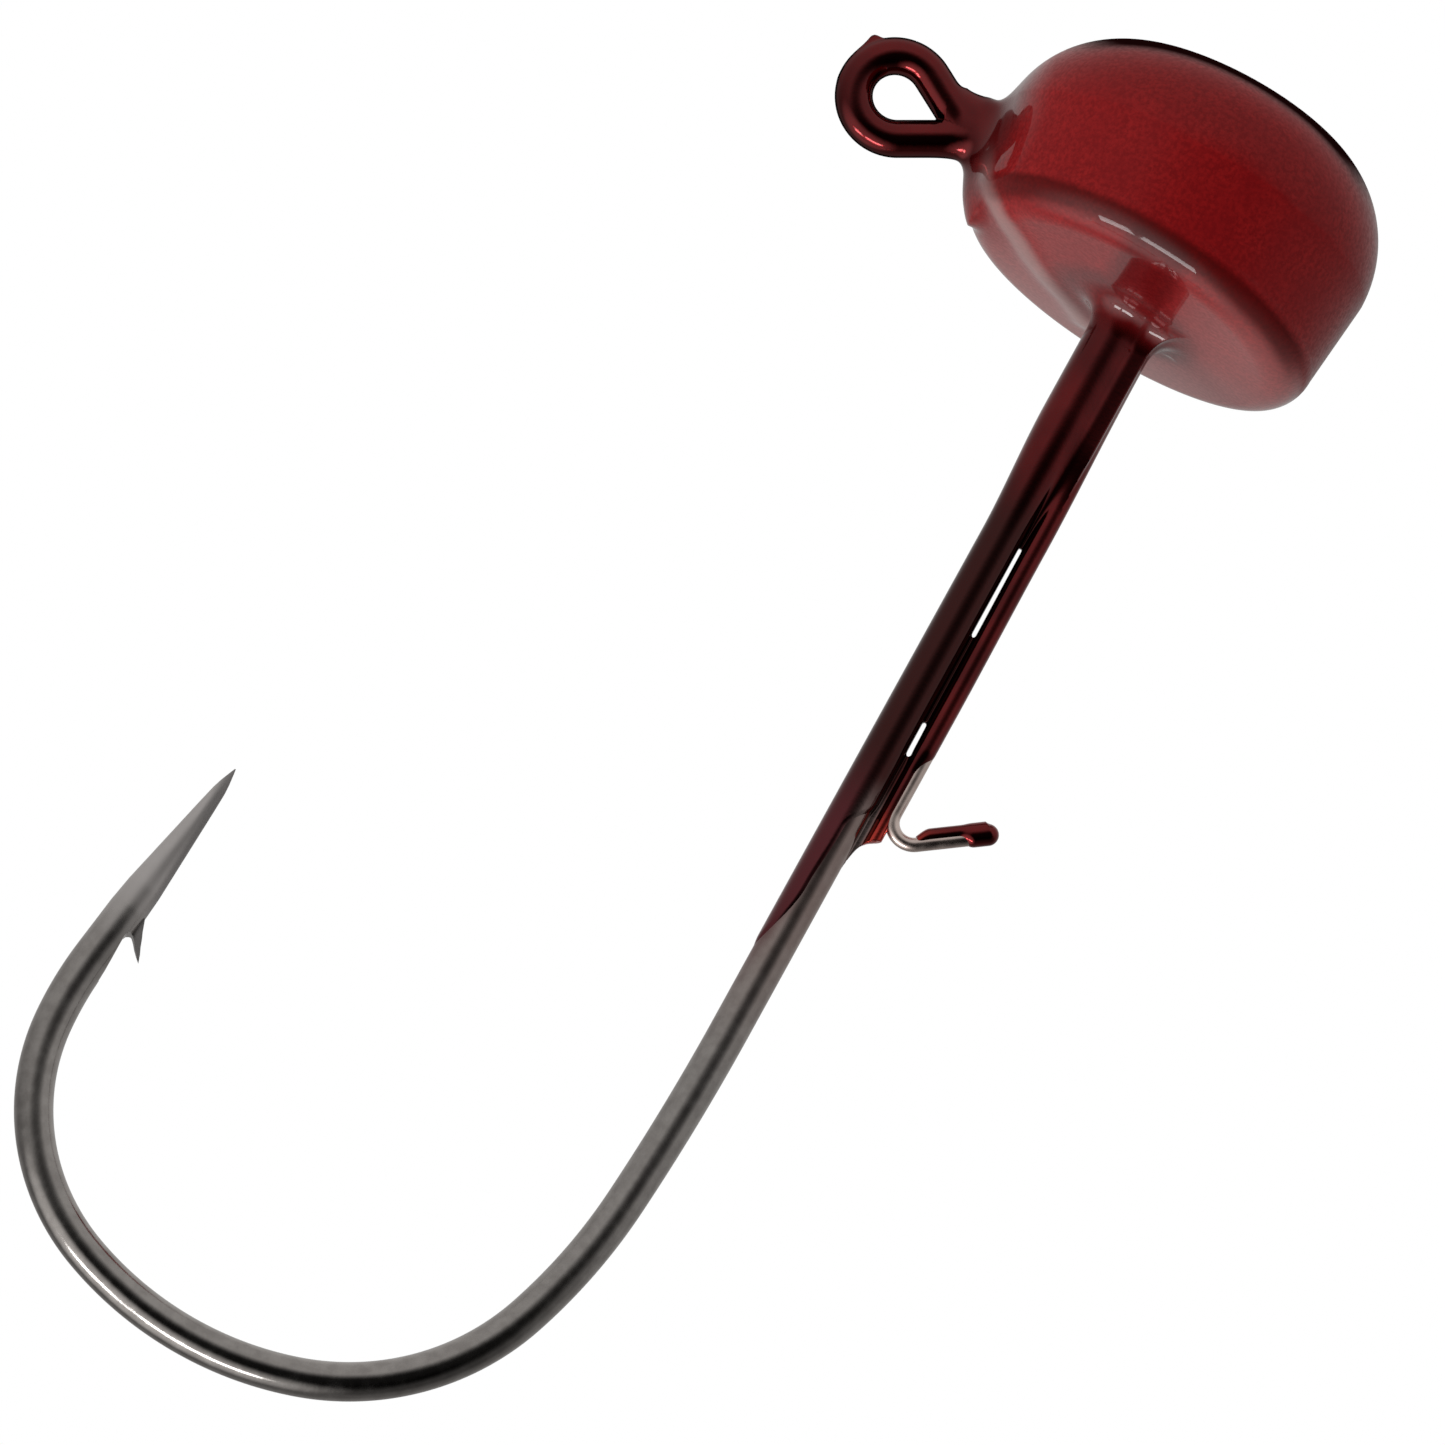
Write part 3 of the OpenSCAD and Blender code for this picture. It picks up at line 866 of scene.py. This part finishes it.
def wire_red(n, at):
    """A dark red on the wires: a painted glow of light through the film between them makes it brighter there,
    and it is worn to steel on one side of the tail.
    """
    red = n.mix(n.ramp(at.cloud, 0.3, 0.7), WIRE_DARK, WIRE_LIGHT)
    thin = n.product(at.on_shank, n.ramp(at.x, -6.2, -4.0, 1.0, 0.0))
    red = n.mix(thin, red, THIN)
    # painted backlight glow in the film near the tail
    film = n.product(n.ramp(at.x, -14.2, -13.0, 1.0, 0.0), n.inverse(at.on_shank))
    red = n.mix(film, red, WEB_BACKLIGHT_PAINT)
    tail = n.product(n.ramp(at.x, -14.6, -11.8, 1.0, 0.0), n.ramp(at.z, -0.3, 0.0))
    red = n.mix(tail, red, TAIL)
    red = n.mix(at.worn, red, WORN)
    return n.mix(at.eye_rim, red, EYE_RIM_DARK_REFLECTION)


def coat_gloss(n, at):
    """How much clear gloss there is: most on the back face, its rim and the foot of the eye."""
    gloss = n.math("MAXIMUM", at.on_back, n.ramp(at.from_foot, 1.5, 3.2, 1.0, 0.0))
    gloss = n.math("MAXIMUM", gloss, n.ramp(at.glance, 0.55, 0.95, 0.10, 0.32))
    gloss = n.product(gloss, n.inverse(at.nose_edge), n.ramp(at.thick, 0.0, 0.72, 1.0, 0.45))
    wire_gloss = n.ramp(n.math("MAXIMUM", at.eye_rim, at.worn), 0.0, 1.0, 0.35, 0.0)
    return n.blend(at.on_head, wire_gloss, gloss)


def red_coat_material():
    """Clear gloss over a red coat with a fine flake. On thin wire it is a dark, mirror-bright red."""
    material, n, shader, point = new_material("red_coat")
    at = coat_places(n, point)
    flake_rough = n.ramp(at.flake, 0.3, 0.7, 0.46, 0.34)
    n.feed_all(shader, {
        "Base Color": n.mix(at.on_head, wire_red(n, at), head_red(n, point, at)),
        "Metallic": n.ramp(at.on_head, 0.0, 1.0, 1.0, 0.0),
        "Roughness": n.blend(at.on_head, 0.13, flake_rough),
        "Normal": n.bump(at.flake, 0.0025),
        "Specular IOR Level": n.ramp(at.nose_edge, 0.0, 1.0, 0.12, 0.0),
        "Specular Tint": n.mix(at.eye_rim, WHITE, BLACK),
        "Coat Weight": coat_gloss(n, at),
        "Coat IOR": 1.5,
        "Coat Roughness": n.ramp(at.cloud, 0.35, 0.75, 0.03, 0.06),
        "Coat Normal": n.bump(n.noise(point, 1.6, 2.0, 0.45), 0.0016),
    })
    return material


def hook_material():
    """Black-nickel wire: dark gloss, a red stain next to the coat, a paler ground spear and a matt barb."""
    material, n, shader, point = new_material("hook_wire")
    x, _, z = n.axes(point)
    grain = n.noise(point, 2.6, 4.0, 0.6)
    scratch = n.noise(n.stretched(point, 0.9, 9.0), 1.0, 2.0, 0.5)
    spear = n.product(n.ramp(z, 12.0, 13.2), n.ramp(x, -26.0, -23.0))
    barb = n.product(n.ramp(z, 11.0, 12.0), n.ramp(z, 13.2, 13.4, 1.0, 0.0), n.ramp(x, -25.4, -25.2))
    # the stain is strongest on the side of the shank that faces the point, and runs out along it
    low = n.ramp(z, 3.0, 8.0, 1.0, 0.0)
    inner = n.ramp(n.math("ADD", z, n.math("MULTIPLY", x, 0.11)), -1.85, -1.35)
    stain = n.product(n.ramp(x, -20.0, -16.5), low, inner)
    faint = n.product(n.ramp(x, -21.5, -16.0), low, 0.45)
    metal = n.mix(n.ramp(grain, 0.3, 0.7), NICKEL_DARK, NICKEL_LIGHT)
    metal = n.mix(spear, metal, GROUND_STEEL)
    metal = n.mix(faint, metal, FAINT_STAIN)
    metal = n.mix(stain, metal, RED_STAIN)
    metal = n.mix(barb, metal, CUT_STEEL)
    ground_rough = n.math("MULTIPLY", n.math("MAXIMUM", spear, barb), 0.24)
    n.feed_all(shader, {
        "Base Color": metal,
        "Metallic": n.ramp(barb, 0.0, 1.0, 1.0, 0.35),
        "Roughness": n.math("ADD", n.ramp(grain, 0.3, 0.75, 0.13, 0.20), ground_rough),
        "Normal": n.bump(scratch, 0.0012),
    })
    return material


def keeper_material():
    """Bright drawn steel with a faint red tint."""
    material, n, shader, point = new_material("keeper_wire")
    grain = n.noise(point, 3.0, 4.0, 0.6)
    scratch = n.noise(n.stretched(point, 1.2, 12.0), 1.0, 2.0, 0.5)
    n.feed_all(shader, {
        "Base Color": n.mix(n.ramp(grain, 0.3, 0.7), KEEPER_DARK, KEEPER_LIGHT),
        "Metallic": 1.0,
        "Roughness": n.ramp(grain, 0.3, 0.7, 0.20, 0.32),
        "Normal": n.bump(scratch, 0.001),
    })
    return material


def lead_material():
    """Dull cast lead, seen only where the coat is opened."""
    material, n, shader, point = new_material("lead")
    cast = n.noise(point, 1.5, 5.0, 0.6)
    n.feed_all(shader, {
        "Base Color": n.mix(n.ramp(cast, 0.3, 0.7), LEAD_DARK, LEAD_LIGHT),
        "Metallic": 1.0,
        "Roughness": n.ramp(cast, 0.3, 0.7, 0.45, 0.62),
        "Normal": n.bump(cast, 0.01),
    })
    return material


def floor_material():
    """Matt off-white."""
    material, n, shader, point = new_material("floor")
    n.feed_all(shader, {
        "Base Color": n.mix(n.noise(point, 0.04, 3.0, 0.5), FLOOR_DARK, FLOOR_LIGHT),
        "Roughness": 0.8,
    })
    return material


# ---- light -------------------------------------------------------------------------------

# where the soft lamp is, and the two dark places: round the camera, and low on the right
LAMP = in_view(-0.60, -0.55, 0.48)
CAMERA_SHADE = in_view(0.20, -0.17, 0.96)
LOW_SHADE = in_view(0.50, -0.70, 0.50)

# the two bright strips in that lamp, each between two directions in the view, and their sizes in metres
LAMP_STRIPS = (((-0.79, -0.47, 0.39), (-0.62, -0.57, 0.54)), ((-0.56, -0.61, 0.56), (-0.19, -0.82, 0.54)))
STRIP_DISTANCE = 0.5
STRIP_WIDTH = 0.085
STRIP_RADIANCE = 9.5

# in millimetres
FLOOR_HALF = 800.0
FLOOR_Z = -60.0


def build_world():
    """A soft studio, white to the camera: pale above, a lamp at the lower left, dark round the camera."""
    world = bpy.data.worlds.new("studio")
    world.use_nodes = True
    bpy.context.scene.world = world
    n = Nodes(world.node_tree)
    n.tree.nodes.clear()
    ray = n.add("ShaderNodeTexCoord").outputs["Generated"]
    pale = n.ramp(n.dot(ray, HIGH), -0.7, 0.8, 0.20, 0.62)
    back = n.ramp(n.dot(ray, -TO_CAMERA), 0.2, 0.75)
    pale = n.math("ADD", pale, n.math("MULTIPLY", back, 0.10))
    camera_shade = n.inverse(n.ramp(n.dot(ray, CAMERA_SHADE), 0.55, 0.93, 0.0, 0.97))
    low_shade = n.inverse(n.ramp(n.dot(ray, LOW_SHADE), 0.70, 0.97, 0.0, 0.60))
    tone = n.product(pale, camera_shade, low_shade)
    tone = n.math("ADD", tone, n.ramp(n.dot(ray, LAMP), 0.60, 0.95, 0.0, 0.85))
    light = n.add("ShaderNodeBackground", {"Color": (1.0, 0.985, 0.97), "Strength": tone})
    white = n.add("ShaderNodeBackground", {"Color": WHITE, "Strength": 1.0})
    camera_ray = n.add("ShaderNodeLightPath").outputs["Is Camera Ray"]
    both = n.add("ShaderNodeMixShader", {0: camera_ray, 1: light.outputs[0], 2: white.outputs[0]})
    n.add("ShaderNodeOutputWorld", {"Surface": both.outputs[0]})


def strip_light(name, start, end):
    """A long soft lamp that spans two directions from the object and faces it."""
    start, end = in_view(*start), in_view(*end)
    middle = (start + end).normalized()
    along = (end - start).normalized()
    data = bpy.data.lights.new(name, "AREA")
    data.shape = "RECTANGLE"
    data.size = (end - start).length * STRIP_DISTANCE
    data.size_y = STRIP_WIDTH
    data.energy = STRIP_RADIANCE * math.pi * data.size * data.size_y
    light = bpy.data.objects.new(name, data)
    bpy.context.scene.collection.objects.link(light)
    along = (along - middle * along.dot(middle)).normalized()
    light.matrix_world = Matrix((along, middle.cross(along), middle)).transposed().to_4x4()
    light.location = middle * STRIP_DISTANCE
    light.visible_camera = False


def build_lights():
    for i, (start, end) in enumerate(LAMP_STRIPS):
        strip_light(f"strip_{i}", start, end)


def build_floor():
    """A floor that the object neither mirrors nor takes light from."""
    corners = [(FLOOR_HALF * x, FLOOR_HALF * y, FLOOR_Z) for x, y in ((-1, -1), (1, -1), (1, 1), (-1, 1))]
    floor = make_object("floor", corners, [[0, 1, 2, 3]])
    floor.data.materials.append(floor_material())
    floor.visible_glossy = False
    floor.visible_diffuse = False


# ---- assembly ----------------------------------------------------------------------------

PIECES = (
    ("hook", "hook_wire", build_hook, hook_material),
    ("keeper_wire", "keeper_wire", build_keeper, keeper_material),
    ("lead_head", "lead", build_lead, lead_material),
    ("red_coat", "red_coat", build_coat, red_coat_material),
)

for node, slot, build, material in PIECES:
    piece = build()
    piece.data.materials.clear()
    piece.data.materials.append(material())
    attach(piece, "root")
    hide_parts(node)

build_floor()
build_world()
build_lights()
add_camera()
bpy.context.scene.view_settings.view_transform = "Standard"
bpy.context.scene.view_settings.look = "None"
